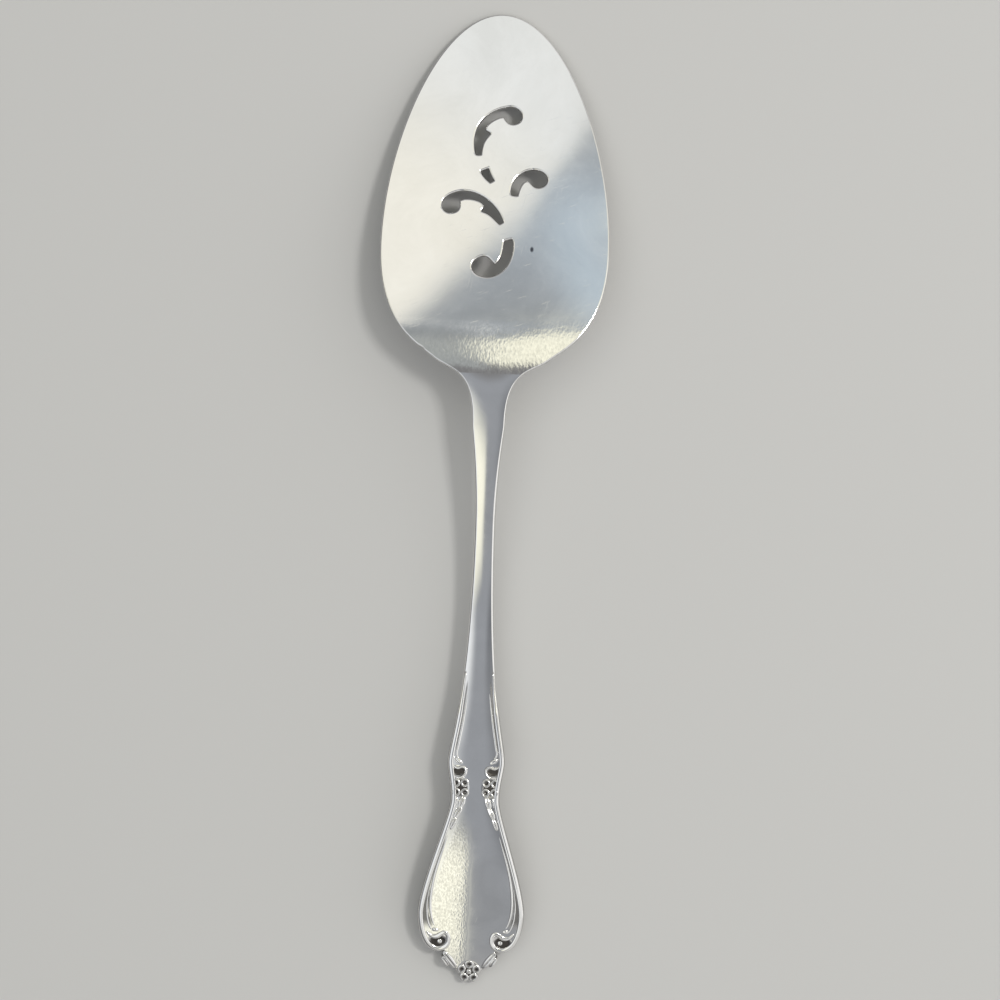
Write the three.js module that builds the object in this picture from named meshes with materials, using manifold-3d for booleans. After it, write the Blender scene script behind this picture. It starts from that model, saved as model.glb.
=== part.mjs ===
// A cake and pie server in stainless steel: a pierced, egg-shaped blade, bent down from its heel, and
// a narrow crowned handle that spreads into a grip with a coined border of beads, scrolls and roses.
// It lies with its serving side down, on the blade's tip and the end of the grip.
// Millimetres. X runs across, +Y towards the blade's tip, +Z up, the origin under the middle.

import * as THREE from 'three';
import { mergeVertices } from 'three/addons/utils/BufferGeometryUtils.js';
import Module from 'manifold-3d';

const wasm = await Module();
wasm.setup();

// The blade. Its outline is an egg: a blunt tip, flanks that run out to the widest place and round
// shoulders that sweep in to the neck.
const bladeLength = 95;
const bladeHalfWidth = 29.8;
const bladeWidestFromSeam = 33.1;
const tipFullness = 16.4;
const flankPull = 27.3;
const shoulderPull = 21.5;
const shoulderHalfWidth = 15;
const shoulderFromSeam = 3.7;
const shoulderSlope = 0.786;
const shoulderRun = 4.2;
const heelRun = 2;
const bladeThickness = 1.4;
const bladeAngle = 9.5;
const heelLength = 14;

// The seam, where the blade's heel and the handle's neck meet edge to edge and are welded flush.
const seamHalfWidth = 8.65;
const seamThickness = 2.3;
const seamCrown = 0.25;
const seamFlare = 0.75;
const neckRun = 3.4;

// The handle's half widths, and where they lie along it.
const handleLength = 159;
const throatHalfWidth = 4.35;
const throatFromSeam = 13;
const throatPull = 6;
const throatRun = 2;
const shankHalfWidth = 2.79;
const shankFromSeam = 40;
const shankPull = 16;
const shankRun = 48;
const collarHalfWidth = 7.3;
const collarFromEnd = 58;
const collarPull = 4;
const collarRun = 1.5;
const waistHalfWidth = 6.2;
const waistFromEnd = 47.4;
const waistPull = 4.5;
const waistRun = 2;
const gripHalfWidth = 13.8;
const gripWidestFromEnd = 18;
const gripPull = 6;
const gripRun = 5.4;
const notchHalfWidth = 6;
const notchFromEnd = 8.2;
const notchRun = 3.8;
const notchSlope = 0.29;
const panelFromEnd = 1.6;
const panelEndFullness = 3.4;

// The handle's section, and the heights of its middle plane over the table.
const shankThickness = 2.9;
const shankCrown = 0.35;
const panelThickness = 1.9;
const panelCrown = 0.15;
const shankHeight = 8;
const shankLowFromSeam = 62;
const gripHeight = 9;
const gripCrestFromEnd = 45;
const endHeight = 1.14;

// The border. Beads and petals are taller than the panel, so they stand out on both faces.
const rimInset = 0.75;
const rimRadius = 0.78;
const threadInset = 2.5;
const threadRadius = 0.55;
const reliefHeight = 1.35;
const borderFromEnd = 77;
const eyeDepth = 0.4;
const petalHeight = 1.5;
const roseFromEnd = 3.08;
const rosePetal = 2.5;
const roseRing = 1.65;
const roseletFromEnd = 50.9;
const roseletFromAxis = 3.9;
const roseletPetal = 1.95;
const roseletRing = 1.45;
const petalCount = 5;

// Scrolls, threads, eyes and leaves of the border: across the handle, and up from its end.
const collarScroll = [[6.5, 57], [6.3, 54.9], [4.9, 53.8], [3.3, 54.3], [2.8, 55.7], [3.6, 56.6]];
const collarThread = [[4, 77], [4.55, 69], [4.85, 62.5], [4.2, 58], [3.1, 57.5]];
const gripScroll = [[10.5, 9.3], [8.2, 8.1], [6.4, 8.9], [5.8, 10.4], [6.3, 12.6], [7.7, 12.6], [9, 11.3]];
const scrollFromEnd = 11.5;
const gripThread = [[10.9, 16.8], [10, 15.2], [9.2, 13.9], [7.8, 13.7]];
const threadFromEnd = 46;
const innerCurl = [[12.1, 17.6], [11.3, 14.4], [10.1, 12.7], [8.6, 12.9]];
const eyes = [
  { at: [4.6, 55.2], long: 3, wide: 2.1 },
  { at: [8.3, 10.7], long: 4.4, wide: 2.9 },
];
const leaves = [
  { at: [4.4, 46.6], long: 4.4, wide: 1.5, turn: -58 },
  { at: [5.7, 46.9], long: 4.4, wide: 1.3, turn: -80 },
  { at: [5.7, 6.7], long: 3.2, wide: 1.4, turn: 22 },
  { at: [4.7, 4.8], long: 2.6, wide: 1.2, turn: -8 },
];

// The pierced vine: round buds on curling stems. Places are across the blade and along it from the
// middle of the vine, which lies on the blade's axis.
const vineFromSeam = 47;
const budRadius = 2.3;
const vine = [
  {
    bud: [3.7, 20.8],
    stem: [[3.4, 22.1], [0.57, 21.6], [-2.95, 19.2], [-5, 15.4], [-4.75, 10.2]],
    widths: [2.1, 1.8],
    thorn: [[-4.2, 17.4], [-2.05, 15.8], [-5, 12.8]],
  },
  {
    bud: [10.85, 4.1],
    stem: [[10.6, 5.4], [7.66, 5.1], [5.62, 3.2], [4.72, -0.4]],
    widths: [2.2, 2],
  },
  {
    bud: [-11.8, -3.1],
    stem: [[-12.1, -2.2], [-10.5, -0.95], [-8.3, -0.6], [-4.24, -1.7], [-1, -4.5], [1.26, -7.8]],
    widths: [2.1, 1.6],
    thorn: [[-3.2, -2.6], [-3.8, -4.9], [-1.2, -6], [0.3, -6.5]],
  },
  {
    bud: [-3.45, -19.2],
    stem: [[-2.9, -20.75], [-0.2, -20.6], [2.4, -18.4], [3.46, -14.8], [3.55, -11.9]],
    widths: [2.3, 2.3],
  },
  {
    stem: [[-3.38, 6.5], [-2.4, 4.7], [-1.2, 3]],
    widths: [2.2, 1.5],
  },
];

const stemSteps = 14;
const budSides = 20;
const edgeSteps = 4;
const crownPlaces = [0.6, 0, -0.6];
const beadSides = 6;
const beadSteps = 2;
const beadEndShare = 0.35;
const beadEndLength = 3;
const bossSides = 8;
const bossRows = 5;
const reliefSquareness = 0.6;

const seamY = (handleLength - bladeLength) / 2;
const bladeSlope = Math.tan(THREE.MathUtils.degToRad(bladeAngle));
const heelHeight = bladeThickness / 2 + bladeSlope * (bladeLength - heelLength / 2);

const blend = (from, to, share) => from + (to - from) * THREE.MathUtils.smoothstep(share, 0, 1);
const blendSlope = (from, to, share, span) => ((to - from) * 6 * share * (1 - share)) / span;

// The middle plane's height and slope at a distance from the seam, towards the tip (above zero) or
// the handle's end (below zero). The heel is a bend that runs into the flat blade.
function spine(along) {
  if (along >= heelLength) return [heelHeight - bladeSlope * (along - heelLength / 2), -bladeSlope];
  if (along >= 0) {
    return [heelHeight - (bladeSlope * along ** 2) / (2 * heelLength), (-bladeSlope * along) / heelLength];
  }
  const back = -along;
  const crest = handleLength - gripCrestFromEnd;
  if (back <= shankLowFromSeam) {
    const share = back / shankLowFromSeam;
    const slope = -blendSlope(heelHeight, shankHeight, share, shankLowFromSeam);
    return [blend(heelHeight, shankHeight, share), slope];
  }
  if (back <= crest) {
    const share = (back - shankLowFromSeam) / (crest - shankLowFromSeam);
    const slope = -blendSlope(shankHeight, gripHeight, share, crest - shankLowFromSeam);
    return [blend(shankHeight, gripHeight, share), slope];
  }
  const share = (back - crest) / gripCrestFromEnd;
  const drop = gripHeight - endHeight;
  return [gripHeight - drop * share ** 2, (2 * drop * share) / gripCrestFromEnd];
}

// A place in the flat blank, raised from the middle plane, carried to its place in the bent server.
function bend(across, along, raise) {
  const [height, slope] = spine(along);
  const lean = Math.hypot(1, slope);
  return new THREE.Vector3(across, seamY + along - (raise * slope) / lean, height + raise / lean);
}

function thicknessAt(along) {
  if (along >= 0) return blend(seamThickness, bladeThickness, along / heelLength);
  const back = -along;
  if (back <= shankFromSeam) return blend(seamThickness, shankThickness, back / shankFromSeam);
  const panelFrom = handleLength - collarFromEnd;
  return blend(shankThickness, panelThickness, (back - shankFromSeam) / (panelFrom - shankFromSeam));
}

function crownAt(along) {
  if (along >= 0) return blend(seamCrown, 0, along / heelLength);
  const back = -along;
  if (back <= shankFromSeam) return blend(seamCrown, shankCrown, back / shankFromSeam);
  const panelFrom = handleLength - collarFromEnd;
  return blend(shankCrown, panelCrown, (back - shankFromSeam) / (panelFrom - shankFromSeam));
}

// A closed solid from a mesh: shared corners merged, and the faces that a pole flattens left out.
function solid(geometry) {
  geometry.deleteAttribute('normal');
  geometry.deleteAttribute('uv');
  const merged = mergeVertices(geometry);
  const triangles = [];
  const corners = merged.index.array;
  for (let i = 0; i < corners.length; i += 3) {
    const [a, b, c] = corners.slice(i, i + 3);
    if (a !== b && b !== c && c !== a) triangles.push(a, b, c);
  }
  const mesh = new wasm.Mesh({
    numProp: 3,
    vertProperties: merged.attributes.position.array,
    triVerts: new Uint32Array(triangles),
  });
  return new wasm.Manifold(mesh);
}

// Rings of equal count skinned one to the next, with each end fanned shut unless its ring already
// closes on itself, as the last one does at a rounded nose.
function loft(rings, capFirst = true, capLast = true) {
  const count = rings[0].length;
  const places = [];
  const faces = [];
  rings.forEach((ring) => ring.forEach((place) => places.push(place.x, place.y, place.z)));
  for (let row = 0; row + 1 < rings.length; row += 1) {
    for (let i = 0; i < count; i += 1) {
      const here = row * count + i;
      const next = row * count + ((i + 1) % count);
      faces.push(here, next, next + count, here, next + count, here + count);
    }
  }
  const fan = (ring, start, outward) => {
    const middle = ring.reduce((sum, place) => sum.add(place), new THREE.Vector3()).divideScalar(count);
    const hub = places.length / 3;
    places.push(middle.x, middle.y, middle.z);
    for (let i = 0; i < count; i += 1) {
      const next = start + ((i + 1) % count);
      faces.push(hub, outward ? start + i : next, outward ? next : start + i);
    }
  };
  if (capFirst) fan(rings[0], 0, false);
  if (capLast) fan(rings[rings.length - 1], (rings.length - 1) * count, true);
  const geometry = new THREE.BufferGeometry();
  geometry.setAttribute('position', new THREE.Float32BufferAttribute(places, 3));
  geometry.setIndex(faces);
  return solid(geometry);
}

// Stations along an outline of curves, each with its place on the edge and the edge's outward normal.
function stations(curves) {
  const list = [];
  curves.forEach(({ curve, steps }, part) => {
    const first = part === 0 ? 0 : 1;
    for (let i = first; i <= steps; i += 1) {
      const run = curve.getTangent(i / steps);
      list.push({ edge: curve.getPoint(i / steps), normal: new THREE.Vector2(-run.y, run.x) });
    }
  });
  return list;
}

// The section at a station: full round edges, rolled in along the outline's normal, and crowned faces.
function sectionRing({ edge, normal }) {
  const round = thicknessAt(edge.y) / 2;
  const crown = crownAt(edge.y);
  const ring = [];
  const side = (sign, turn) => {
    const angle = sign * (turn / edgeSteps - 0.5) * Math.PI;
    const inset = round * (1 - Math.cos(angle));
    const across = Math.max(edge.x - inset * normal.x, 0) * sign;
    ring.push(bend(across, edge.y - inset * normal.y, round * Math.sin(angle)));
  };
  const face = (sign, place) => {
    const across = Math.max(edge.x - round * normal.x, 0) * place * sign;
    const raise = sign * (round + crown * (1 - place ** 2));
    ring.push(bend(across, edge.y - round * normal.y, raise));
  };
  for (let turn = 0; turn <= edgeSteps; turn += 1) side(1, turn);
  crownPlaces.forEach((place) => face(1, place));
  for (let turn = 0; turn <= edgeSteps; turn += 1) side(-1, turn);
  crownPlaces.forEach((place) => face(-1, place));
  return ring;
}

const bezier = (...places) => new THREE.CubicBezierCurve(...places.map(([x, y]) => new THREE.Vector2(x, y)));

// The seam's section lies square across, so that the two pieces meet on one flat face.
const squareAcross = new THREE.Vector2(1, 0);

// Bars along a path in the blank: the path's own width on either side, for a stem that is cut through.
function strip(curve, widths) {
  const left = [];
  const right = [];
  for (let i = 0; i <= stemSteps; i += 1) {
    const share = i / stemSteps;
    const place = curve.getPointAt(share);
    const run = curve.getTangentAt(share);
    const half = THREE.MathUtils.lerp(widths[0], widths[1], share) / 2;
    left.push(new THREE.Vector2(place.x - run.y * half, place.y + run.x * half));
    right.unshift(new THREE.Vector2(place.x + run.y * half, place.y - run.x * half));
  }
  return new THREE.Shape([...left, ...right]);
}

// A flat shape driven through the blade, square to its face.
function punch(shape) {
  const reach = bladeThickness * 2;
  const geometry = new THREE.ExtrudeGeometry(shape, {
    depth: reach,
    bevelEnabled: false,
    curveSegments: budSides,
  });
  const places = geometry.attributes.position;
  for (let i = 0; i < places.count; i += 1) {
    const along = places.getY(i) + vineFromSeam;
    const moved = bend(places.getX(i), along, places.getZ(i) - reach / 2);
    places.setXYZ(i, moved.x, moved.y, moved.z);
  }
  return solid(geometry);
}

const planPoint = ([x, y]) => new THREE.Vector2(x, y);

function makeBlade() {
  const outline = stations([
    {
      curve: bezier(
        [0, bladeLength],
        [tipFullness, bladeLength],
        [bladeHalfWidth, bladeWidestFromSeam + flankPull],
        [bladeHalfWidth, bladeWidestFromSeam],
      ),
      steps: 26,
    },
    {
      curve: bezier(
        [bladeHalfWidth, bladeWidestFromSeam],
        [bladeHalfWidth, bladeWidestFromSeam - shoulderPull],
        [shoulderHalfWidth + shoulderRun, shoulderFromSeam + shoulderRun * shoulderSlope],
        [shoulderHalfWidth, shoulderFromSeam],
      ),
      steps: 18,
    },
    {
      curve: bezier(
        [shoulderHalfWidth, shoulderFromSeam],
        [shoulderHalfWidth - heelRun, shoulderFromSeam - heelRun * shoulderSlope],
        [seamHalfWidth + heelRun, heelRun * seamFlare],
        [seamHalfWidth, 0],
      ),
      steps: 5,
    },
  ]);
  outline[outline.length - 1].normal = squareAcross;
  let blade = loft(outline.map(sectionRing), false, true);
  vine.forEach(({ bud, stem, widths, thorn }) => {
    blade = blade.subtract(punch(strip(new THREE.SplineCurve(stem.map(planPoint)), widths)));
    if (bud) blade = blade.subtract(punch(new THREE.Shape().absarc(...bud, budRadius, 0, 2 * Math.PI)));
    if (thorn) blade = blade.subtract(punch(new THREE.Shape(thorn.map(planPoint))));
  });
  return blade;
}

// The handle's outline, from the seam to the panel's end under the last rose.
const collarBack = handleLength - collarFromEnd;
const waistBack = handleLength - waistFromEnd;
const widestBack = handleLength - gripWidestFromEnd;
const notchBack = handleLength - notchFromEnd;
const panelBack = handleLength - panelFromEnd;

// A stretch of outline that leaves one width and reaches the next running straight along the handle.
function flow([fromWidth, fromBack], [toWidth, toBack], run, pull) {
  const leave = [fromWidth, -fromBack - run];
  const reach = [toWidth, -toBack + pull];
  return bezier([fromWidth, -fromBack], leave, reach, [toWidth, -toBack]);
}

const seamPoint = [seamHalfWidth, 0];
const throat = [throatHalfWidth, throatFromSeam];
const shank = [shankHalfWidth, shankFromSeam];
const collar = [collarHalfWidth, collarBack];
const waist = [waistHalfWidth, waistBack];
const widest = [gripHalfWidth, widestBack];

const handleOutline = stations([
  {
    curve: bezier(
      seamPoint,
      [seamHalfWidth - neckRun, -neckRun * seamFlare],
      [throatHalfWidth, -throatFromSeam + throatPull],
      [throatHalfWidth, -throatFromSeam],
    ),
    steps: 8,
  },
  { curve: flow(throat, shank, throatRun, shankPull), steps: 6 },
  { curve: flow(shank, collar, shankRun, collarPull), steps: 12 },
  { curve: flow(collar, waist, collarRun, waistPull), steps: 5 },
  { curve: flow(waist, widest, waistRun, gripPull), steps: 10 },
  {
    curve: bezier(
      [gripHalfWidth, -widestBack],
      [gripHalfWidth, -widestBack - gripRun],
      [notchHalfWidth + notchRun, -notchBack + notchRun * notchSlope],
      [notchHalfWidth, -notchBack],
    ),
    steps: 10,
  },
  {
    curve: bezier(
      [notchHalfWidth, -notchBack],
      [notchHalfWidth - notchRun / 2, -notchBack - (notchRun / 2) * notchSlope],
      [panelEndFullness, -panelBack],
      [0, -panelBack],
    ),
    steps: 8,
  },
]);
handleOutline[0].normal = squareAcross;

// The edge's own run between two places measured from the handle's end, moved in by an inset.
function edgeRun(fromEnd, toEnd, inset) {
  const within = ({ edge }) => edge.y + handleLength <= fromEnd && edge.y + handleLength >= toEnd;
  return handleOutline
    .filter(within)
    .map(({ edge, normal }) => [edge.x - inset * normal.x, edge.y + handleLength - inset * normal.y]);
}

// Coined relief has steep sides and a full top: a sine's height made squarer.
const squared = (height) => Math.sign(height) * Math.abs(height) ** reliefSquareness;

// A raised bead along points given across the handle and up from its end, rounded off at both ends.
function bead(points, radius, side) {
  const places = points.map(([x, up]) => new THREE.Vector3(side * x, up - handleLength, 0));
  const curve = new THREE.CatmullRomCurve3(places, false, 'centripetal');
  const length = curve.getLength();
  const steps = beadSteps * (points.length - 1);
  const rings = [];
  for (let i = 0; i <= steps; i += 1) {
    const place = curve.getPoint(i / steps);
    const run = curve.getTangent(i / steps);
    const toEnd = (Math.min(i, steps - i) / steps) * length;
    const swell = Math.min(1, beadEndShare + toEnd / (beadEndLength * radius));
    const ring = [];
    for (let turn = 0; turn < beadSides; turn += 1) {
      const angle = (turn / beadSides) * 2 * Math.PI;
      const out = swell * radius * Math.cos(angle);
      const raise = swell * reliefHeight * squared(Math.sin(angle));
      ring.push(bend(place.x - run.y * out, place.y + run.x * out, raise));
    }
    rings.push(ring);
  }
  return loft(rings);
}

// A smooth boss, such as a petal or a leaf, through both faces: across, up from the end, long, wide,
// its half height, the turn of its length from across, and how far its middle is raised.
function boss([x, up], long, wide, half, turn, raise = 0) {
  const geometry = new THREE.SphereGeometry(1, bossSides, bossRows);
  geometry.rotateX(Math.PI / 2);
  geometry.scale(long / 2, wide / 2, 1);
  geometry.rotateZ(turn);
  const places = geometry.attributes.position;
  for (let i = 0; i < places.count; i += 1) {
    const along = places.getY(i) + up - handleLength;
    const moved = bend(places.getX(i) + x, along, half * squared(places.getZ(i)) + raise);
    places.setXYZ(i, moved.x, moved.y, moved.z);
  }
  return solid(geometry);
}

// A rose of round petals about a button.
function rose([x, up], ring, petal) {
  const petals = [boss([x, up], petal, petal, petalHeight, 0)];
  for (let i = 0; i < petalCount; i += 1) {
    const angle = ((i / petalCount) * 2 - 0.5) * Math.PI;
    const place = [x + ring * Math.cos(angle), up + ring * Math.sin(angle)];
    petals.push(boss(place, petal, petal, petalHeight, angle));
  }
  return petals;
}

function makeHandle() {
  let handle = loft(handleOutline.map(sectionRing), true, false);
  const border = rose([0, roseFromEnd], roseRing, rosePetal);
  for (const side of [1, -1]) {
    eyes.forEach(({ at: [x, up], long, wide }) => {
      for (const face of [1, -1]) {
        const raise = (face * panelThickness) / 2;
        handle = handle.subtract(boss([side * x, up], long, wide, eyeDepth, 0, raise));
      }
    });
    border.push(bead([...edgeRun(borderFromEnd, collarFromEnd, rimInset), ...collarScroll], rimRadius, side));
    border.push(bead(collarThread, threadRadius, side));
    border.push(bead([...edgeRun(waistFromEnd, scrollFromEnd, rimInset), ...gripScroll], rimRadius, side));
    const threadRun = edgeRun(threadFromEnd, gripWidestFromEnd, threadInset);
    border.push(bead([...threadRun, ...gripThread], threadRadius, side));
    border.push(bead(innerCurl, threadRadius, side));
    border.push(...rose([side * roseletFromAxis, roseletFromEnd], roseletRing, roseletPetal));
    leaves.forEach(({ at: [x, up], long, wide, turn }) => {
      border.push(boss([side * x, up], long, wide, reliefHeight, side * THREE.MathUtils.degToRad(turn)));
    });
  }
  border.forEach((piece) => {
    handle = handle.add(piece);
  });
  return handle;
}

function toMesh(name, shape, finish) {
  const { vertProperties, triVerts } = shape.getMesh();
  const geometry = new THREE.BufferGeometry();
  geometry.setAttribute('position', new THREE.BufferAttribute(new Float32Array(vertProperties), 3));
  geometry.setIndex(new THREE.BufferAttribute(new Uint32Array(triVerts), 1));
  geometry.computeVertexNormals();
  const mesh = new THREE.Mesh(geometry, new THREE.MeshStandardMaterial(finish));
  mesh.name = name;
  return mesh;
}

const satin = { color: 0xb9b7b2, roughness: 0.38, metalness: 1 };
const polished = { color: 0xc6c4bf, roughness: 0.18, metalness: 1 };

const server = new THREE.Group();
server.name = 'pie_server';
server.add(toMesh('blade', makeBlade(), satin), toMesh('handle', makeHandle(), polished));
server.position.z = -new THREE.Box3().setFromObject(server).min.z;

export default server;
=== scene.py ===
import math

import bmesh
import bpy
from mathutils import Matrix, Vector, geometry


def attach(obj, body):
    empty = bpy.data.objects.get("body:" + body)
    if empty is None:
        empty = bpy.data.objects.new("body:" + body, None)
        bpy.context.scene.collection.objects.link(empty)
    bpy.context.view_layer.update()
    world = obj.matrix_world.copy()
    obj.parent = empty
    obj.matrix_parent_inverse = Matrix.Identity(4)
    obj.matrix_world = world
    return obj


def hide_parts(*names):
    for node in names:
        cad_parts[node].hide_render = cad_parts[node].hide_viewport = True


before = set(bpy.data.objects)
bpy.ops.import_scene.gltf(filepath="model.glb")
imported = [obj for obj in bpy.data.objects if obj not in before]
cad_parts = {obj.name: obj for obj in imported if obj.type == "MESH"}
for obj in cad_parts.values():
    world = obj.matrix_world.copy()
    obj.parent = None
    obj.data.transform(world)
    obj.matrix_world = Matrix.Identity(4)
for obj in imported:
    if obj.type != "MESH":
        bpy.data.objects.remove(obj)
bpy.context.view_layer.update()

# The blade
# A leaf of stainless sheet, stamped to an egg's outline and pierced with four curling shoots and a
# dash. Its edges are tumbled round, its faces are left satin, and its heel is pressed up to the
# neck, where it is butt-welded to the handle.
# Sizes of the flat blank are in millimetres, from the weld.
blade_thickness = 1.4
edge_round = 0.45
# Each point of the outline's right half: its place, the curve's pull before it and the pull after it.
blade_outline = [
    ((0, 95), (-16.4, 95), (16.4, 95)),
    ((29.8, 33.1), (29.8, 60.4), (29.8, 11.6)),
    ((15, 3.7), (19.2, 7), (13, 2.13)),
    ((8.65, 0), (10.65, 1.5), (5.25, -2.55)),
    ((4.35, -13), (4.35, -7), (4.35, -14)),
]
# The piercings, drawn the same way: each a bud that runs into a curling stem with a square end. Two
# of them have a thorn.
upper_shoot = [
    ((1.1, 67.4), (-0.6, 67.7), (1.7, 66.4)),
    ((3.7, 65.6), (2.3, 65.5), (5, 65.8)),
    ((5.8, 67.9), (5.9, 66.6), (5.7, 69.3)),
    ((2.5, 70.2), (4, 70.4), (-0.9, 69.8)),
    ((-5.8, 64.1), (-4.6, 67.5), (-6.6, 62)),
    ((-5.9, 57.3), (-6.4, 58.9), (-5.7, 57.1)),
    ((-4.5, 57.3), (-4.7, 57.1), (-4.3, 59.5)),
    ((-2.3, 62.8), (-4.2, 60.9), (-2.3, 63.3)),
    ((-3.6, 63.8), (-3.3, 63.5), (-4.3, 64.9)),
]
short_dash = [
    ((-4.4, 52.9), (-4, 51.7), (-3.6, 53.2)),
    ((-2.5, 53.7), (-3.2, 53.4), (-1.9, 52.2)),
    ((-0.9, 50.5), (-1.5, 51.4), (-1.2, 50.3)),
    ((-1.9, 49.9), (-1.5, 50.1), (-3.1, 50.8)),
]
right_shoot = [
    ((8.2, 50.6), (6.5, 51.2), (9, 49.8)),
    ((10.9, 49), (9.6, 48.8), (12.1, 49.2)),
    ((13, 51.3), (13.1, 50.1), (12.8, 53)),
    ((9.2, 53.7), (11, 53.7), (5.6, 53.5)),
    ((3.7, 46.9), (3.1, 49.8), (4.1, 46.7)),
    ((5.4, 46.7), (4.9, 46.6), (5.7, 48.3)),
]
left_shoot = [
    ((-9.7, 44.8), (-8.5, 46.1), (-9.2, 43.2)),
    ((-11.6, 41.6), (-9.8, 41.8), (-12.7, 41.4)),
    ((-14.2, 43.5), (-14, 42), (-14.5, 45.9)),
    ((-8.5, 47.5), (-10.8, 47.5), (-3.8, 47.5)),
    ((1.9, 39.6), (0.5, 43.7), (1.7, 39.4)),
    ((0.9, 39), (1.2, 39.1), (-0.5, 40.1)),
    ((-3.8, 42.2), (-1.5, 41.7), (-3.9, 42.5)),
    ((-3.3, 43.3), (-3.4, 43), (-2.8, 45.2)),
]
lower_shoot = [
    ((2.4, 34.6), (2, 32.3), (2.8, 34.9)),
    ((4.4, 35.1), (4.1, 35.2), (5, 33.4)),
    ((3.7, 28.9), (4.5, 30.5), (2.8, 26.8)),
    ((-1.7, 25), (0.5, 25.1), (-3.4, 24.9)),
    ((-5.8, 27.4), (-5.5, 25.7), (-6.1, 29)),
    ((-3, 30.5), (-4.2, 30.4), (-1.4, 30.6)),
    ((0.2, 28.5), (-0.7, 28.8), (2.2, 29.9)),
]

outline_steps, piercing_steps, edge_steps = 40, 10, 4
merge_gap, cut_gap = 1e-4, 1e-5
flat_enough = 0.999


def meshed(curve):
    """The mesh that a curve draws."""
    holder = bpy.data.objects.new(curve.name, curve)
    bpy.context.scene.collection.objects.link(holder)
    graph = bpy.context.evaluated_depsgraph_get()
    mesh = bpy.data.meshes.new_from_object(holder.evaluated_get(graph))
    bpy.data.objects.remove(holder)
    return mesh


def stamped_sheet(outline, piercings, half, edge):
    """A flat sheet with rounded edges, cut to a mirrored outline and pierced."""
    blank = bpy.data.curves.new("blank", "CURVE")
    blank.dimensions, blank.fill_mode = "2D", "BOTH"
    blank.extrude, blank.bevel_depth, blank.offset = half - edge, edge, -edge
    blank.bevel_resolution = edge_steps
    left = [((-p[0], p[1]), (-b[0], b[1]), (-a[0], a[1])) for p, a, b in outline[:0:-1]]
    for loop in [outline + left] + piercings:
        rim = blank.splines.new("BEZIER")
        rim.bezier_points.add(len(loop) - 1)
        for point, (place, before, after) in zip(rim.bezier_points, loop):
            point.handle_left_type = point.handle_right_type = "FREE"
            point.co = (*place, 0)
            point.handle_left, point.handle_right = (*before, 0), (*after, 0)
        rim.use_cyclic_u = True
        rim.resolution_u = piercing_steps if loop in piercings else outline_steps
    mesh = meshed(blank)
    sheet = bmesh.new()
    sheet.from_mesh(mesh)
    bpy.data.meshes.remove(mesh)
    bmesh.ops.remove_doubles(sheet, verts=sheet.verts, dist=merge_gap)
    bmesh.ops.recalc_face_normals(sheet, faces=sheet.faces)
    return sheet


def is_flat(face):
    return abs(face.normal.z) > flat_enough


blade_sheet = stamped_sheet(blade_outline,
                            [upper_shoot, short_dash, right_shoot, left_shoot, lower_shoot],
                            blade_thickness / 2, edge_round)
for edge in blade_sheet.edges:
    edge.smooth = sum(is_flat(f) for f in edge.link_faces) != 1

# Rows and columns for the press to bend, closer together at the heel.
heel_length = 14
pitch, heel_pitch, heel_rows_end = 3, 0.75, 16
heel_rows, first_blade_row, blade_rows = 21, 18, 26
columns_each_side, heel_columns_each_side = 9, 13
rows = [heel_pitch * (i + 1) for i in range(heel_rows)]
rows += [first_blade_row + pitch * i for i in range(blade_rows)]


def scored(geom, place, across):
    """Cuts some of the sheet through a place, so that it can bend there."""
    bmesh.ops.bisect_plane(blade_sheet, geom=geom, dist=cut_gap, plane_co=place, plane_no=across)


for along in rows:
    scored(blade_sheet.faces[:] + blade_sheet.edges[:], (0, along, 0), (0, 1, 0))
for i in range(-columns_each_side, columns_each_side + 1):
    scored(blade_sheet.faces[:] + blade_sheet.edges[:], (pitch * i, 0, 0), (1, 0, 0))
for i in range(-heel_columns_each_side, heel_columns_each_side + 1):
    near = [f for f in blade_sheet.faces if f.calc_center_median().y < heel_rows_end]
    scored(near + list(dict.fromkeys(e for f in near for e in f.edges)), (heel_pitch * i, 0, 0), (1, 0, 0))


def is_diagonal(edge):
    one, other = (v.co for v in edge.verts)
    return abs(one.x - other.x) > merge_gap and abs(one.y - other.y) > merge_gap


stray = [e for e in blade_sheet.edges
         if len(e.link_faces) == 2 and all(is_flat(f) for f in e.link_faces) and is_diagonal(e)]
bmesh.ops.dissolve_edges(blade_sheet, edges=stray, use_verts=True)


def square_cut(sheet, outer):
    """Cuts a blank square across at the weld and closes the cut."""
    bmesh.ops.bisect_plane(sheet, geom=sheet.verts[:] + sheet.edges[:] + sheet.faces[:], dist=cut_gap,
                           plane_co=(0, 0, 0), plane_no=(0, outer, 0), clear_outer=True)
    rim = [e for e in sheet.edges if e.is_boundary and all(abs(v.co.y) < merge_gap for v in e.verts)]
    cap = bmesh.ops.contextual_create(sheet, geom=rim)["faces"]
    for edge in {e for f in cap for e in f.edges}:
        edge.smooth = False


square_cut(blade_sheet, -1)

# The press: heights of the sheet's middle over the table, its thickness and its crown along the length.
weld_from_middle = 32
heel_height = 15.3
blade_fall = math.tan(math.radians(9.5))
shank_height, shank_low = 7.87, 62
grip_height, grip_crest = 8.87, 114
end_height, handle_length = 1.01, 159
neck_thickness, neck_crown = 2.3, 0.15
slope_step, millimetres_in_metre = 0.01, 1000


def eased(start, end, share):
    share = min(max(share, 0), 1)
    return start + (end - start) * share * share * (3 - 2 * share)


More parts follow.
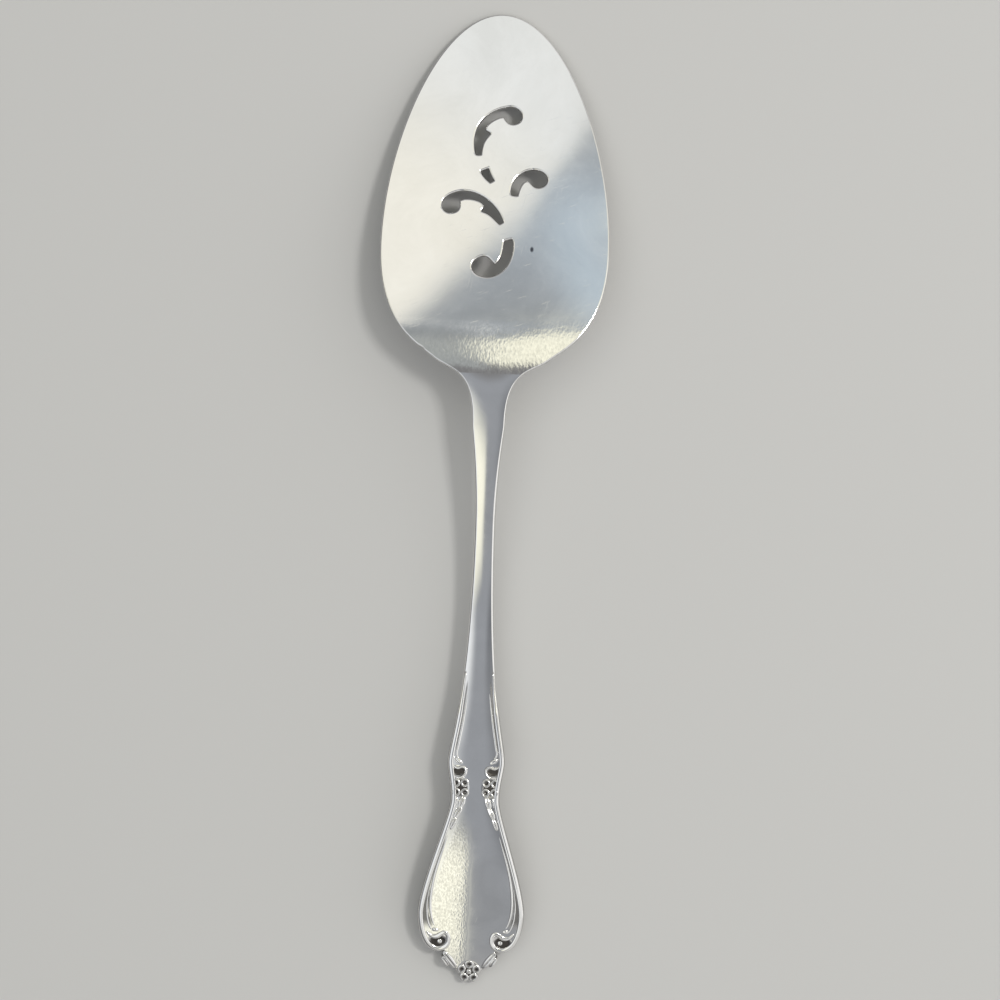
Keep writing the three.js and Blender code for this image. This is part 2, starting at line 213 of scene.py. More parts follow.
def spine(along):
    if along >= heel_length:
        return heel_height - blade_fall * (along - heel_length / 2)
    if along >= 0:
        return heel_height - blade_fall * along ** 2 / (2 * heel_length)
    if -along <= shank_low:
        return eased(heel_height, shank_height, -along / shank_low)
    if -along <= grip_crest:
        return eased(shank_height, grip_height, (-along - shank_low) / (grip_crest - shank_low))
    past_crest = (-along - grip_crest) / (handle_length - grip_crest)
    return grip_height - (grip_height - end_height) * past_crest ** 2


def pressed(place):
    """A point of the flat blank, in millimetres, bent to its place on the table, in metres."""
    slope = (spine(place.y + slope_step) - spine(place.y - slope_step)) / (2 * slope_step)
    lean = math.hypot(1, slope)
    along = weld_from_middle + place.y - place.z * slope / lean
    return Vector((place.x, along, spine(place.y) + place.z / lean)) / millimetres_in_metre


blade_half_width, blade_dome, dome_length = 29.8, 0.35, 3 * heel_length
crown_reach_at_weld, crown_reach_after, crown_spread = 11, 18, 6
nick_at, nick_reach, nick_depth = Vector((-18.2, 6)), 1.1, 0.4
for v in blade_sheet.verts:
    v.co.x += nick_depth * max(0, 1 - ((v.co.xy - nick_at).length / nick_reach) ** 2)
    thicker = eased(neck_thickness, blade_thickness, v.co.y / heel_length) / blade_thickness
    crown_reach = eased(crown_reach_at_weld, crown_reach_after, v.co.y / crown_spread)
    crown = eased(neck_crown, 0, v.co.y / heel_length) * max(0, 1 - (v.co.x / crown_reach) ** 2) ** 2
    dome = eased(0, blade_dome, v.co.y / dome_length) * (v.co.x / blade_half_width) ** 2
    side = v.co.z / (blade_thickness / 2)
    v.co = pressed(Vector((v.co.x, v.co.y, v.co.z * thicker + crown * side - dome)))
    v.co.z = max(v.co.z, 0)


def finished_piece(name, shape, material, solid):
    """Turns a shape into a smooth piece that stands for its solid in the frame."""
    bmesh.ops.recalc_face_normals(shape, faces=shape.faces)
    for face in shape.faces:
        face.smooth = True
    mesh = bpy.data.meshes.new(name)
    shape.to_mesh(mesh)
    shape.free()
    piece = bpy.data.objects.new(name, mesh)
    bpy.context.scene.collection.objects.link(piece)
    mesh.materials.append(material)
    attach(piece, "root")
    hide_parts(solid)


# Wear that both finishes share: fine scratches that run several ways, the smudges that hands and
# cloths leave, and the grit of a coarse wheel, drawn out along the length.
wear = bpy.data.node_groups.new("steel_wear", "ShaderNodeTree")
for label in ("Scratch Scale", "Smudge Scale", "Grit Scale"):
    wear.interface.new_socket(label, in_out="INPUT", socket_type="NodeSocketFloat")
for label in ("Scratches", "Smudges", "Grit", "Speckle"):
    wear.interface.new_socket(label, in_out="OUTPUT", socket_type="NodeSocketFloat")


def node(tree, kind, feeds=(), **settings):
    """Adds a node with its properties and sockets set. What feeds a socket is a link or a value."""
    made = tree.nodes.new(kind if kind.startswith("NodeGroup") else "ShaderNode" + kind)
    for key, value in settings.items():
        if hasattr(made, key):
            setattr(made, key, value)
        else:
            made.inputs[key.replace("_", " ")].default_value = value
    for socket, source in dict(feeds).items():
        if isinstance(source, bpy.types.NodeSocket):
            tree.links.new(source, made.inputs[socket])
        else:
            made.inputs[socket].default_value = source
    return made


given = node(wear, "NodeGroupInput").outputs
at = node(wear, "TexCoord").outputs["Object"]
lines = None
for turn, width in ((0.35, 0.04), (-0.8, 0.03), (1.35, 0.05)):
    turned = node(wear, "Mapping", {"Vector": at}, vector_type="TEXTURE",
                  Rotation=(0, 0, turn), Scale=(1, width, 1)).outputs["Vector"]
    grain = node(wear, "TexNoise", {"Vector": turned, "Scale": given["Scratch Scale"]},
                 Detail=2, Roughness=0.5).outputs["Fac"]
    line = node(wear, "MapRange", {"Value": grain}, From_Min=0.69, From_Max=0.8).outputs["Result"]
    if lines is None:
        lines = line
    else:
        lines = node(wear, "Math", {0: lines, 1: line}, operation="MAXIMUM").outputs["Value"]
smear = node(wear, "TexNoise", {"Vector": at, "Scale": given["Smudge Scale"]},
             Detail=5, Roughness=0.68, Distortion=0.6).outputs["Fac"]
drawn = node(wear, "Mapping", {"Vector": at}, Scale=(1, 0.6, 1)).outputs["Vector"]
grit = node(wear, "TexNoise", {"Vector": drawn, "Scale": given["Grit Scale"]}, Detail=1.5).outputs["Fac"]
speckle = node(wear, "MapRange", {"Value": grit},
               From_Min=0.36, From_Max=0.64, To_Min=0.8, To_Max=1.1).outputs["Result"]
node(wear, "NodeGroupOutput", {"Scratches": lines, "Smudges": smear, "Grit": grit, "Speckle": speckle})


def steel_finish(name, scratch_scale, smudge_scale, grit_scale, dark, light):
    """A stainless material whose colour changes with its wear, and the nodes that the rest hangs on."""
    finish = bpy.data.materials.new(name)
    finish.use_nodes = True
    tree = finish.node_tree
    steel = tree.nodes["Principled BSDF"]
    steel.inputs["Metallic"].default_value = 1
    worn = node(tree, "Group", {"Scratch Scale": scratch_scale, "Smudge Scale": smudge_scale,
                                "Grit Scale": grit_scale}, node_tree=wear).outputs
    at = node(tree, "TexCoord").outputs["Object"]
    tone = node(tree, "ValToRGB", {"Fac": worn["Smudges"]})
    for stop, (position, colour) in zip(tone.color_ramp.elements, ((0.32, dark), (0.68, light))):
        stop.position, stop.color = position, (*colour, 1)
    return finish, tree, steel, worn, at, tone.outputs["Color"]


def ground_patch(tree, worn, mask, colour):
    """Where the mask is 1 the steel is coarsely ground. Returns its speckled colour and its gritty height."""
    shade = node(tree, "Mix", {0: mask, 2: 1, 3: worn["Speckle"]}, data_type="FLOAT").outputs[0]
    speckled = node(tree, "VectorMath", {0: colour, "Scale": shade}, operation="SCALE").outputs["Vector"]
    grit = node(tree, "Math", {0: worn["Grit"], 1: mask}, operation="MULTIPLY").outputs["Value"]
    return speckled, grit


def hazed(tree, worn, least, most, mask, dulling):
    """How rough the steel is: hazier where it is smudged, and duller where the mask is 1."""
    haze = node(tree, "MapRange", {"Value": worn["Smudges"]},
                From_Min=0.3, From_Max=0.7, To_Min=least, To_Max=most).outputs["Result"]
    return node(tree, "Math", {0: mask, 1: dulling, 2: haze}, operation="MULTIPLY_ADD").outputs["Value"]


satin, tree, steel, worn, at, tone = steel_finish(
    "satin_stainless", scratch_scale=160, smudge_scale=45, grit_scale=1600,
    dark=(0.68, 0.675, 0.66), light=(0.75, 0.745, 0.735))
# A pit that a drop of something sour left, a third of the way up the blade.
pit_place, pit_colour = Vector((9.6, 32.6, 0.7)), (0.1, 0.1, 0.11, 1)
pit_offset = node(tree, "VectorMath", {0: at, 1: pressed(pit_place)}, operation="SUBTRACT").outputs["Vector"]
pit_shape = node(tree, "Mapping", {"Vector": pit_offset}, Scale=(1.6, 1, 1)).outputs["Vector"]
pit_far = node(tree, "VectorMath", {0: pit_shape}, operation="LENGTH").outputs["Value"]
pit = node(tree, "MapRange", {"Value": pit_far},
           From_Min=0.0004, From_Max=0.0009, To_Min=1, To_Max=0).outputs["Result"]
stained = node(tree, "Mix", {0: pit, 6: tone, 7: pit_colour}, data_type="RGBA").outputs[2]
# The heel is ground coarser than the rest of the blade, most of all on its right.
place = node(tree, "SeparateXYZ", {"Vector": at}).outputs
low = node(tree, "MapRange", {"Value": place["Y"]},
           From_Min=0.038, From_Max=0.047, To_Min=1, To_Max=0).outputs["Result"]
right = node(tree, "MapRange", {"Value": place["X"]},
             From_Min=-0.013, From_Max=0.001, To_Min=0.15, To_Max=0.55).outputs["Result"]
heel = node(tree, "Math", {0: low, 1: right}, operation="MULTIPLY").outputs["Value"]
tree.links.new(hazed(tree, worn, 0.035, 0.06, heel, 0.06), steel.inputs["Roughness"])
speckled, grit = ground_patch(tree, worn, heel, stained)
tree.links.new(speckled, steel.inputs["Base Color"])
# The sheet's own slight sway, then its fine grain, grit and scratches.
grain_height, scratch_height = 0.01, -0.025
sway = node(tree, "TexNoise", {"Vector": at}, Scale=40, Detail=1).outputs["Fac"]
swell = node(tree, "Bump", {"Height": sway}, Strength=1, Distance=0.00002).outputs["Normal"]
fine = node(tree, "TexNoise", {"Vector": at}, Scale=5200, Detail=2).outputs["Fac"]
grain = node(tree, "Math", {0: fine, 1: grain_height, 2: grit}, operation="MULTIPLY_ADD").outputs["Value"]
cuts = node(tree, "Math", {0: worn["Scratches"], 1: scratch_height, 2: grain},
            operation="MULTIPLY_ADD").outputs["Value"]
bump = node(tree, "Bump", {"Height": cuts, "Normal": swell}, Strength=1, Distance=0.000025)
tree.links.new(bump.outputs["Normal"], steel.inputs["Normal"])

finished_piece("pierced_blade", blade_sheet, satin, "blade")

# The handle
# A forged stainless bar with a rounded, crowned section. It falls from the weld in a narrow shank and
# spreads into a flat grip. A die coins a border of two beads, scrolls and flowers on both faces, and
# it is polished.
# The right half of its outline, as curves of (across, along): from the blade's shoulder back to the end.
handle_outline = [
    ((15, 3.7), (13, 2.13), (10.65, 1.5), (8.65, 0), 8),
    ((8.65, 0), (5.25, -2.55), (4.35, -7), (4.35, -13), 26),
    ((4.35, -13), (4.35, -15), (2.79, -24), (2.79, -40), 24),
    ((2.79, -40), (2.79, -86), (7.3, -95.5), (7.3, -101), 64),
    ((7.3, -101), (7.3, -103), (6.2, -106.5), (6.2, -110.6), 26),
    ((6.2, -110.6), (6.2, -115), (13.8, -133.5), (13.8, -141), 64),
    ((13.8, -141), (13.8, -145.8), (11.6, -150), (8, -150.3), 40),
    ((8, -150.3), (5, -150.6), (4.6, -157.6), (0, -157.6), 46),
]
stations = []
for *curve, count in handle_outline:
    points = geometry.interpolate_bezier(*[Vector((*p, 0)) for p in curve], count)
    stations += [p.to_2d() for p in points][bool(stations):]
last = len(stations) - 1
outward = []
for i in range(len(stations)):
    run = (stations[min(i + 1, last)] - stations[max(i - 1, 0)]).normalized()
    outward.append(Vector((-run.y, run.x)))
outward[last] = Vector((0, -1))

shank_thickness, shank_crown, shank_edge, shank_upright = 2.9, 0.03, 0.8, 0.1
panel_thickness, panel_crown, panel_edge, panel_upright = 1.9, 0.3, 0.6, 0.2
neck_upright = 1 - edge_round / (blade_thickness / 2)
shank_from_weld, collar_from_weld = 40, 101
widest, widest_at = 13.8, -141


def along_handle(along, neck, shank, panel):
    """A measure that changes smoothly from the neck to the shank and from there to the grip."""
    if -along <= shank_from_weld:
        return eased(neck, shank, -along / shank_from_weld)
    return eased(shank, panel, (-along - shank_from_weld) / (collar_from_weld - shank_from_weld))


def risen(measure, start, run):
    """0 up to the start, and 1 after the run."""
    return eased(0, 1, (measure - start) / run)


# The upper half of the bar, as a sheet of rows that is rolled over from edge to edge.
corner_columns, face_columns, face_spacing = 7, 30, 1.4
half_columns = 1 + corner_columns + face_columns
corner_share, least_half_width, nose_gap = 0.9, 0.05, 1e-3
# Where the rubbed half starts and the run in which it comes up: in from the edge, across and along.
rubbed_in, rubbed_across, rubbed_along = (2.4, 0.8), (-0.8, 5), (112, 9)
# The middle and length of the border's two stretches, and how sharply they end.
bordered, border_fade = [(-132.3, 26), (-89, 19)], 8
# The groove in the border: its start and run, its reach, and what it widens by, from where, in what run.
groove_start, groove_reach, groove_widenings = (1.1, 0.25), 1.7, [(1.1, 132, 7), (0.8, 140, 3)]
groove_end_run, groove_painted_shade = 0.3, 0.8
bar = bmesh.new()
bmesh.ops.create_grid(bar, x_segments=2 * half_columns, y_segments=last, size=0.5)
rubbed, painted_shade = bar.verts.layers.float.new("rubbed"), bar.verts.layers.float.new("painted_shade")
for v in bar.verts:
    row = round((v.co.y + 0.5) * last)
    column = round((1 - abs(2 * v.co.x)) * half_columns)
    side = 1 if v.co.x > 0 else -1
    edge, out = stations[row], outward[row]
    half = along_handle(edge.y, neck_thickness, shank_thickness, panel_thickness) / 2
    crown = along_handle(edge.y, neck_crown, shank_crown, panel_crown)
    corner = min(along_handle(edge.y, edge_round, shank_edge, panel_edge),
                 corner_share * max(edge.x, least_half_width))
    upright = along_handle(edge.y, neck_upright, shank_upright, panel_upright)
    rim = edge - out * corner
    # The tongue past the widest place carries on the crown of the panel.
    crown_width = rim.x if edge.y > widest_at else widest - corner
    if column <= 1 + corner_columns:
        turn = math.pi / 2 * max(column - 1, 0) / corner_columns
        place = edge - out * corner * (1 - math.cos(turn))
        top = half + crown * (1 - (rim.x / crown_width) ** 2)
        above = top * (upright + (1 - upright) * math.sin(turn)) if column else 0
    else:
        place = rim.copy()
        place.x *= 1 - ((column - 1 - corner_columns) / face_columns) ** face_spacing
        above = half + crown * (1 - (place.x / crown_width) ** 2)
    v.co = (side * max(place.x, 0), place.y, above)
    # Drawers and tables have rubbed the left half of the grip, inside its border.
    inside = (edge.x - place.x) * out.x
    in_panel = inside if edge.y > widest_at else widest - place.x
    v[rubbed] = risen(in_panel, *rubbed_in) * risen(-v.co.x, *rubbed_across) * risen(-v.co.y, *rubbed_along)
    # Shade is painted into the groove between the border's beads, which widens towards the end.
    in_border = max(eased(0, 1, (0.5 - abs(v.co.y - middle) / length) * border_fade)
                    for middle, length in bordered)
    groove = groove_reach + sum(more * risen(-v.co.y, start, run) for more, start, run in groove_widenings)
    in_groove = risen(inside, *groove_start) * risen(groove - inside, 0, groove_end_run)
    v[painted_shade] = groove_painted_shade * in_border * in_groove
bmesh.ops.mirror(bar, geom=bar.verts[:] + bar.edges[:] + bar.faces[:], matrix=Matrix.Identity(4),
                 merge_dist=merge_gap, axis="Z")
bmesh.ops.remove_doubles(bar, verts=bar.verts, dist=nose_gap)
bmesh.ops.recalc_face_normals(bar, faces=bar.faces)
square_cut(bar, 1)
bedding, run_stride = 0.03, 4


def from_end(up):
    return up - handle_length


def face_level(along):
    """The height over the middle plane at which the border is bedded in the bar's face."""
    return along_handle(along, neck_thickness, shank_thickness, panel_thickness) / 2 - bedding


def inset_run(start, stop, inset):
    """Points that keep a distance inside the outline, between two distances from the end."""
    run = [p - out * inset for p, out in zip(stations, outward) if from_end(stop) <= p.y <= from_end(start)]
    return [(p.x, p.y + handle_length) for p in run[::run_stride]]


# The die sinks the scrolls' eyes and the ground of the flowers. Shade is painted in there, darkest at their
# middles.
rose_up = 3.05
sink_steepness, shade_steepness = 2, 2.5
sunk = [
    ((4.5, 55.6), (1.9, 1.25), 0.4), ((8.4, 10.9), (2.4, 1.75), 0.4),
    ((4, 51.45), (2.3, 2.5), 0.1), ((0, rose_up), (2.8, 2.8), 0.1),
]
for v in bar.verts:
    for (across, up), (long, wide), depth in sunk:
        off = ((abs(v.co.x) - across) / long) ** 2 + ((v.co.y - from_end(up)) / wide) ** 2
        if off < 1:
            v.co.z *= 1 - depth * min(1, sink_steepness * (1 - off))
            v[painted_shade] = max(v[painted_shade], min(1, shade_steepness * (1 - off)))

# The border is built on its own and joined to the bar. Its beads are paths of (across, up from the
# end) on the right half, each with its radius, how far it stands out and how far its crest leans in.
border = bmesh.new()
border_painted_shade = border.verts.layers.float.new("painted_shade")
rim_bead, thread_bead = (0.72, 0.5, 0.3), (0.38, 0.36, 0)
ring_bead, line_bead = (0.46, 0.5, 0), (0.26, 0.26, 0)
grip_scroll = [
    (13, 15.5), (12.6, 13.6), (11.95, 11.8), (11, 10.3), (9.8, 9.35), (8.4, 8.95), (7, 9.3), (6.05, 10.3),
    (5.8, 11.6), (6.1, 12.8), (6.8, 13.3), (7.7, 12.95), (8.6, 12.35), (9.6, 12.15), (10.6, 12.6),
    (11.5, 13.5),
]
collar_curl = [(5.2, 60.2), (4.75, 59.1), (4.1, 58.3), (3.3, 57.85)]
collar_line = [(6.1, 60), (5.7, 58.9), (5.1, 58.1), (4.3, 57.7), (3.5, 57.7)]
collar_scroll = [
    (6.3, 55), (5.4, 54.2), (4.3, 54), (3.2, 54.5), (2.6, 55.6), (2.9, 56.6), (3.8, 56.8), (4.8, 56.45),
    (5.6, 56.8), (6.2, 57.5),
]
grip_curl = [
    (9.75, 28.5), (10.25, 25.7), (10.55, 23.2), (10.65, 20.9), (10.5, 18.9), (10.15, 17.1), (9.65, 15.6),
    (9.05, 14.5),
]
grip_line = [
    (10.95, 25.5), (11.3, 23), (11.5, 20.8), (11.45, 18.7), (11.2, 16.7), (10.65, 15), (9.95, 13.9),
    (9.2, 13.6), (8.5, 13.95),
]
beads = [
    (inset_run(82, 17, 0.58) + grip_scroll, rim_bead),
    (inset_run(79, 61.5, 1.9) + collar_curl, thread_bead),
    (collar_line, line_bead),
    (collar_scroll, ring_bead),
    (inset_run(40, 31, 1.8) + grip_curl, thread_bead),
    (grip_line, line_bead),
]
# The share of its radius that a bead has at its head and at its tail, and what it gains at each point.
head_size, head_swell, tail_size, tail_swell = 0.3, 0.25, 0.45, 0.2


def add_bead(side, path, radius):
    """One bead as a tube in the blank's plane, thin at both ends. Returns its points."""
    wires = bpy.data.curves.new("bead", "CURVE")
    wires.dimensions, wires.fill_mode, wires.use_fill_caps = "3D", "FULL", True
    wires.bevel_depth, wires.bevel_resolution, wires.resolution_u = 1, 5, 6
    wire = wires.splines.new("BEZIER")
    wire.bezier_points.add(len(path) - 1)
    for i, (point, (across, up)) in enumerate(zip(wire.bezier_points, path)):
        point.co = (side * across, from_end(up), 0)
        point.handle_left_type = point.handle_right_type = "AUTO"
        from_tail = len(path) - 1 - i
        point.radius = radius * min(1, head_size + head_swell * i, tail_size + tail_swell * from_tail)
    tube = meshed(wires)
    before = len(border.verts)
    border.from_mesh(tube)
    bpy.data.meshes.remove(tube)
    border.verts.ensure_lookup_table()
    return border.verts[before:]


# Points nearer the middle plane than the foot stay on it. Shade is painted round the foot of what stands out.
foot, foot_painted_shade, foot_painted_shade_fall = 0.02, 0.8, 3


def foot_shade_amount(share):
    return foot_painted_shade * max(0, 1 - foot_painted_shade_fall * share)


for path, (radius, rise, lean) in beads:
    for side in (1, -1):
        for v in add_bead(side, path, radius):
            share = min(abs(v.co.z) / radius, 1)
            v[border_painted_shade] = foot_shade_amount(share)
            if share > foot:
                v.co.z = math.copysign(face_level(v.co.y) + rise * share, v.co.z)
                v.co.x -= side * lean * share

# The hollow of a petal and the rib of a leaf, as shares of their size, and the shade painted in them.
cup_spread, cup_shade_spread, rib_width, fullness = 0.26, 0.22, 0.22, 0.6
cup_painted_shade, rib_painted_shade = 2.2, 1.6


def coined_boss(place, size, turn, rise, cup, rib=0):
    """A petal, leaf or seed: an oval boss on both faces, hollowed at its middle or along it."""
    made = bmesh.ops.create_uvsphere(border, u_segments=20, v_segments=16, radius=1)["verts"]
    level = face_level(from_end(place[1]))
    for v in made:
        share = abs(v.co.z)
        from_middle, from_rib = v.co.x ** 2 + v.co.y ** 2, (v.co.y / rib_width) ** 2
        hollow = cup * math.exp(-from_middle / cup_spread) + rib * math.exp(-from_rib)
        # Painted shade in the hollow, along the rib and round the foot.
        v[border_painted_shade] = max(min(1, cup_painted_shade * cup * math.exp(-from_middle / cup_shade_spread)),
                              rib_painted_shade * rib * math.exp(-from_rib), foot_shade_amount(share))
        if share > foot:
            v.co.z = math.copysign(level + rise * share ** fullness * (1 - hollow), v.co.z)
    bmesh.ops.scale(border, verts=made, vec=(size[0] / 2, size[1] / 2, 1))
    bmesh.ops.rotate(border, verts=made, cent=(0, 0, 0), matrix=Matrix.Rotation(turn, 3, "Z"))
    bmesh.ops.translate(border, verts=made, vec=(place[0], from_end(place[1]), 0))


# The rose on the end, a flower under each collar scroll, the leaves that trail from them, the tips
# of the threads and a seed in each scroll of the grip.
rose_rise, petal_count = 0.72, 5
petal_reach, petal_size, petal_cup = (2.05, 1.95), (2.4, 2.75), 0.7
button_size, button_cup = (1.5, 1.5), 0.2
for i in range(petal_count):
    angle = math.tau * i / petal_count + math.pi / 2
    petal = (petal_reach[0] * math.cos(angle), rose_up + petal_reach[1] * math.sin(angle))
    coined_boss(petal, petal_size, angle, rose_rise, petal_cup)
coined_boss((0, rose_up), button_size, 0, rose_rise, button_cup)
flower_petal_size, flower_rise, flower_cup = (2.35, 2.45), 0.66, 0.85
seed_at, seed_size, seed_rise = (7.9, 10.9), (1.3, 1.2), 0.2
flower_petals = [(5.05, 52.65), (2.8, 52.75), (4.95, 50.25), (2.7, 50.2)]
# Place, length and width, turn in degrees, rise and the depth of the rib.
leaves = [
    ((3.4, 47.6), (3.8, 1.8), -72, 0.5, 0.35), ((4.3, 45), (4.2, 1.6), -62, 0.5, 0.35),
    ((5.4, 42.2), (3.8, 1.3), -68, 0.5, 0.35), ((5.1, 47.7), (3.2, 1.3), -80, 0.5, 0.35),
    ((5.1, 6.1), (5.9, 1.9), 51, 0.7, 0.35), ((6.2, 5.7), (3.2, 1.6), 54, 0.7, 0.35),
    ((4.5, 58.4), (2.6, 1.15), 35, 0.45, 0), ((9.1, 14.05), (1.8, 1.05), 12, 0.45, 0),
]
for side in (1, -1):
    for across, up in flower_petals:
        coined_boss((side * across, up), flower_petal_size, 0, flower_rise, flower_cup)
    for (across, up), size, turn, rise, rib in leaves:
        turn = math.radians(turn if side > 0 else 180 - turn)
        coined_boss((side * across, up), size, turn, rise, 0, rib)
    coined_boss((side * seed_at[0], seed_at[1]), seed_size, 0, seed_rise, 0)

bmesh.ops.remove_doubles(border, verts=border.verts, dist=merge_gap)
border_mesh = bpy.data.meshes.new("border")
border.to_mesh(border_mesh)
border.free()
bar.from_mesh(border_mesh)
bpy.data.meshes.remove(border_mesh)
for v in bar.verts:
    v.co = pressed(v.co)
    v.co.z = max(v.co.z, 0)

bright, tree, steel, worn, at, tone = steel_finish(
    "polished_stainless", scratch_scale=230, smudge_scale=70, grit_scale=2300,
    dark=(0.7, 0.695, 0.68), light=(0.76, 0.755, 0.745))
# Painted shade: a near-black colour mixed in where the grooves, sunk eyes, hollows and the feet of the beads
# lie in shade. The steel is also duller there.
painted_shade_colour = (0.07, 0.065, 0.06, 1)
painted_shade_mask = node(tree, "Attribute", attribute_name="painted_shade").outputs["Fac"]
darkened = node(tree, "Mix", {0: painted_shade_mask, 6: tone, 7: painted_shade_colour}, data_type="RGBA").outputs[2]
tree.links.new(hazed(tree, worn, 0.045, 0.09, painted_shade_mask, 0.3), steel.inputs["Roughness"])
# The rubbed half has an uneven border.
unevenness, scratch_height = 0.8, -0.05
reach = node(tree, "Attribute", attribute_name="rubbed").outputs["Fac"]
uneven = node(tree, "Math", {0: worn["Smudges"], 1: unevenness, 2: reach},
              operation="MULTIPLY_ADD").outputs["Value"]
rubbed_half = node(tree, "MapRange", {"Value": uneven}, From_Min=0.6, From_Max=1.1).outputs["Result"]
speckled, grit = ground_patch(tree, worn, rubbed_half, darkened)
tree.links.new(speckled, steel.inputs["Base Color"])
cuts = node(tree, "Math", {0: worn["Scratches"], 1: scratch_height, 2: grit},
            operation="MULTIPLY_ADD").outputs["Value"]
bump = node(tree, "Bump", {"Height": cuts}, Strength=1, Distance=0.000012)
tree.links.new(bump.outputs["Normal"], steel.inputs["Normal"])

finished_piece("bordered_handle", bar, bright, "handle")

# The table and the light
# A plain pale table top, and the soft panels of a studio over it.
table = bmesh.new()
bmesh.ops.create_grid(table, x_segments=2, y_segments=2, size=30)
table_mesh = bpy.data.meshes.new("table_top")
table.to_mesh(table_mesh)
table.free()
table_top = bpy.data.objects.new("table_top", table_mesh)
bpy.context.scene.collection.objects.link(table_top)
pale = bpy.data.materials.new("pale_paper")
pale.use_nodes = True
paper = pale.node_tree.nodes["Principled BSDF"]
paper.inputs["Base Color"].default_value = (0.53, 0.528, 0.522, 1)
paper.inputs["Roughness"].default_value = 0.9
table_mesh.materials.append(pale)


def soft_panel(name, place, size, glow, colour):
    """A rectangular soft panel that points at the origin: where it hangs, its two sides, how bright it is."""
    light = bpy.data.lights.new(name, "AREA")
    light.shape, light.size, light.size_y = "RECTANGLE", *size
    light.energy = glow * math.pi * size[0] * size[1]
    light.color = colour
    lamp = bpy.data.objects.new(name, light)
    lamp.location = place
    lamp.rotation_mode = "QUATERNION"
    lamp.rotation_quaternion = (-Vector(place)).to_track_quat("-Z", "Y")
    bpy.context.scene.collection.objects.link(lamp)


soft_panel("right_side", (1.15, -0.1, 0.5), (1.1, 0.7), 0.6, (1, 0.99, 0.97))
soft_panel("side_key", (0.55, 0.22, 1.1), (0.2, 0.2), 36, (1, 0.98, 0.95))

# The studio over it: a grey ceiling, darker overhead and bluer at the far end, and lighter walls.
world = bpy.data.worlds.new("studio")
bpy.context.scene.world = world
world.use_nodes = True
sky = world.node_tree
facing = node(sky, "TexCoord").outputs["Generated"]
way = node(sky, "SeparateXYZ", {"Vector": facing}).outputs
far = node(sky, "MapRange", {"Value": way["Y"]}, From_Min=-0.5, From_Max=0.7).outputs["Result"]
ceiling = node(sky, "ValToRGB", {"Fac": far})
stops = [
    (0, (0.37, 0.385, 0.41)), (0.4, (0.4, 0.42, 0.455)), (0.45, (0.27, 0.27, 0.275)),
    (0.55, (0.27, 0.27, 0.275)), (0.62, (0.37, 0.39, 0.405)), (0.73, (0.37, 0.395, 0.41)),
    (0.745, (0.44, 0.48, 0.525)), (0.758, (0.54, 0.61, 0.68)), (0.768, (0.54, 0.61, 0.68)),
    (0.785, (0.46, 0.475, 0.48)),
]
for i, (position, colour) in enumerate(stops):
    stop = ceiling.color_ramp.elements[i] if i < 2 else ceiling.color_ramp.elements.new(position)
    stop.position, stop.color = position, (*colour, 1)
lit = ceiling.outputs["Color"]
# Directions as places on a flat ceiling, one unit up.
lowest = 0.05
high = node(sky, "Math", {0: way["Z"], 1: lowest}, operation="MAXIMUM").outputs["Value"]
spread = node(sky, "Math", {0: 1, 1: high}, operation="DIVIDE").outputs["Value"]
overhead = node(sky, "VectorMath", {0: facing, "Scale": spread}, operation="SCALE").outputs["Vector"]

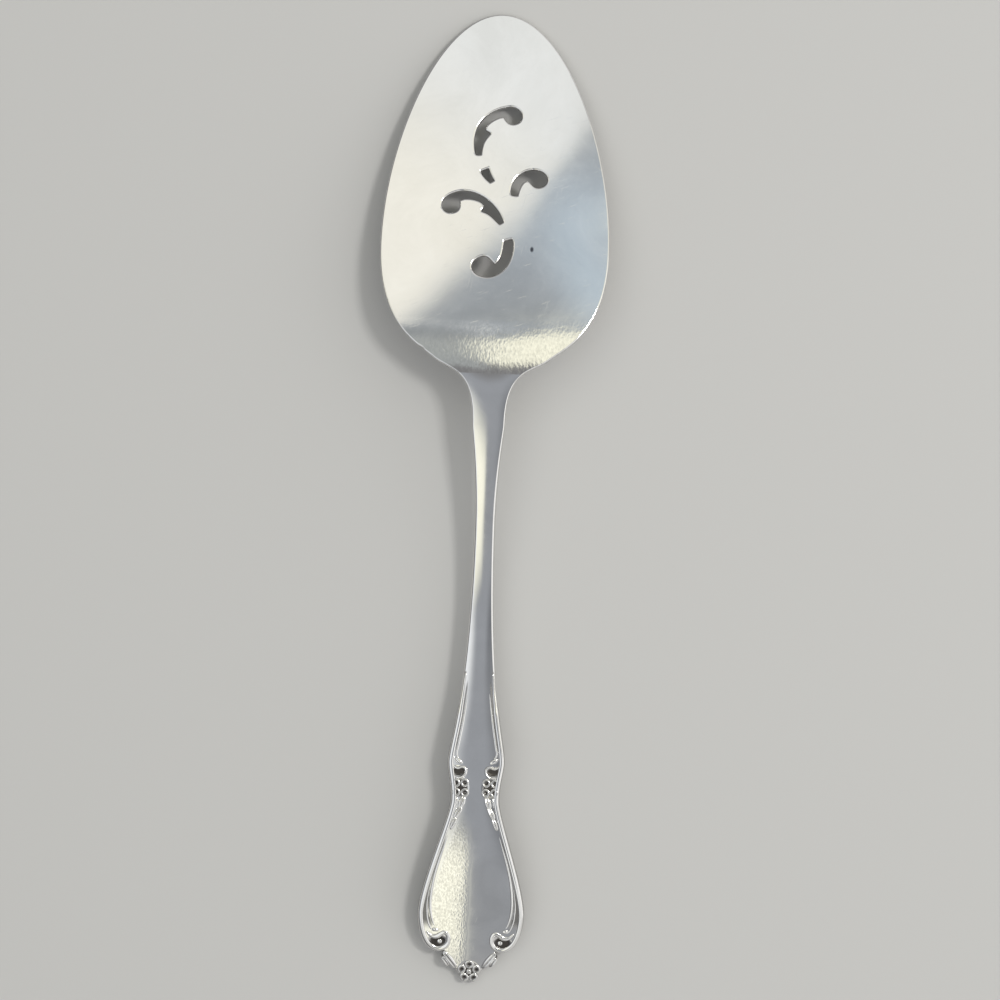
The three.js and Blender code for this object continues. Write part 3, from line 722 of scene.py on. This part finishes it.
# Soft patches on the ceiling, each with its colour and inside some edges: the way in across an edge,
# where it starts and how soft it is.
patches = [
    ((0.64, 0.75, 0.85), [(1, 0, 0.042, 0.02), (0, 1, 0.37, 0.02), (0, -1, -0.458, 0.008)]),
    ((1.19, 1.165, 1.06), [(-0.435, 0.9, 0.401, 0.01), (-0.634, 0.773, 0.338, 0.005)]),
    ((1.06, 1.08, 1.07), [(0.3, 0.954, 0.45, 0.035), (-0.634, 0.773, 0.338, 0.005)]),
    ((0.45, 0.475, 0.475), [(-1, 0, 0.015, 0.012), (0, 1, 0.1, 0.03), (0, -1, -0.37, 0.03)]),
    ((1.26, 1.24, 1.03), [(1, 0, -0.015, 0.012), (0.8, 0.6, 0.112, 0.02), (0, 1, 0.09, 0.03),
                          (0.5, -0.866, -0.346, 0.008)]),
    ((1.34, 1.32, 1.12), [(-1, 0, 0.018, 0.014), (-0.74, -0.673, 0.2, 0.09)]),
    ((1.1, 1.13, 1.17), [(-1, 0, 0.17, 0.1), (0, -1, -0.1, 0.05)]),
    ((0.22, 0.23, 0.25), [(1, 0, 0.12, 0.06), (0, -1, 0, 0.05), (0, 1, -0.36, 0.05)]),
    ((1.1, 1.1, 1.1), [(1, 0, 0.4, 0.08), (0, -1, -0.05, 0.05)]),
    ((1.1, 1.1, 1.1), [(1, 0, 0.15, 0.05), (0, -1, 0.38, 0.04)]),
]
for colour, edges in patches:
    inside = None
    for across, along, start, soft in edges:
        reach = node(sky, "VectorMath", {0: overhead, 1: (across, along, 0)}, operation="DOT_PRODUCT")
        fade = node(sky, "MapRange", {"Value": reach.outputs["Value"]}, interpolation_type="SMOOTHSTEP",
                    From_Min=start - soft, From_Max=start + soft).outputs["Result"]
        if inside is None:
            inside = fade
        else:
            inside = node(sky, "Math", {0: inside, 1: fade}, operation="MULTIPLY").outputs["Value"]
    lit = node(sky, "Mix", {0: inside, 6: lit, 7: (*colour, 1)}, data_type="RGBA").outputs[2]

# The walls: dim on the left, light on the right.
dim_wall, bright_wall = (0.24, 0.24, 0.25, 1), (0.8, 0.79, 0.775, 1)
beside = node(sky, "MapRange", {"Value": way["X"]}, From_Min=-0.5, From_Max=0.5).outputs["Result"]
sides = node(sky, "ValToRGB", {"Fac": beside})
for stop, (position, colour) in zip(sides.color_ramp.elements, ((0.1, dim_wall), (0.9, bright_wall))):
    stop.position, stop.color = position, colour
low = node(sky, "MapRange", {"Value": way["Z"]}, From_Min=0.8, From_Max=0.6).outputs["Result"]
walls = node(sky, "Mix", {0: low, 6: lit, 7: sides.outputs["Color"]}, data_type="RGBA").outputs[2]
sky.links.new(walls, sky.nodes["Background"].inputs["Color"])
bpy.context.scene.view_settings.view_transform = "Standard"

# The camera looks straight down, a little turned, as close as the object fills the frame.
eye_height, view_width, sensor = 0.8, 0.2632, 36
eye_offset, eye_turn = (0.0037, -0.0005), 2.08
eye = bpy.data.cameras.new("camera")
eye.sensor_width = sensor
eye.lens = sensor * eye_height / view_width
viewer = bpy.data.objects.new("camera", eye)
viewer.location = (*eye_offset, eye_height)
viewer.rotation_euler = (0, 0, math.radians(eye_turn))
bpy.context.scene.collection.objects.link(viewer)
bpy.context.scene.camera = viewer
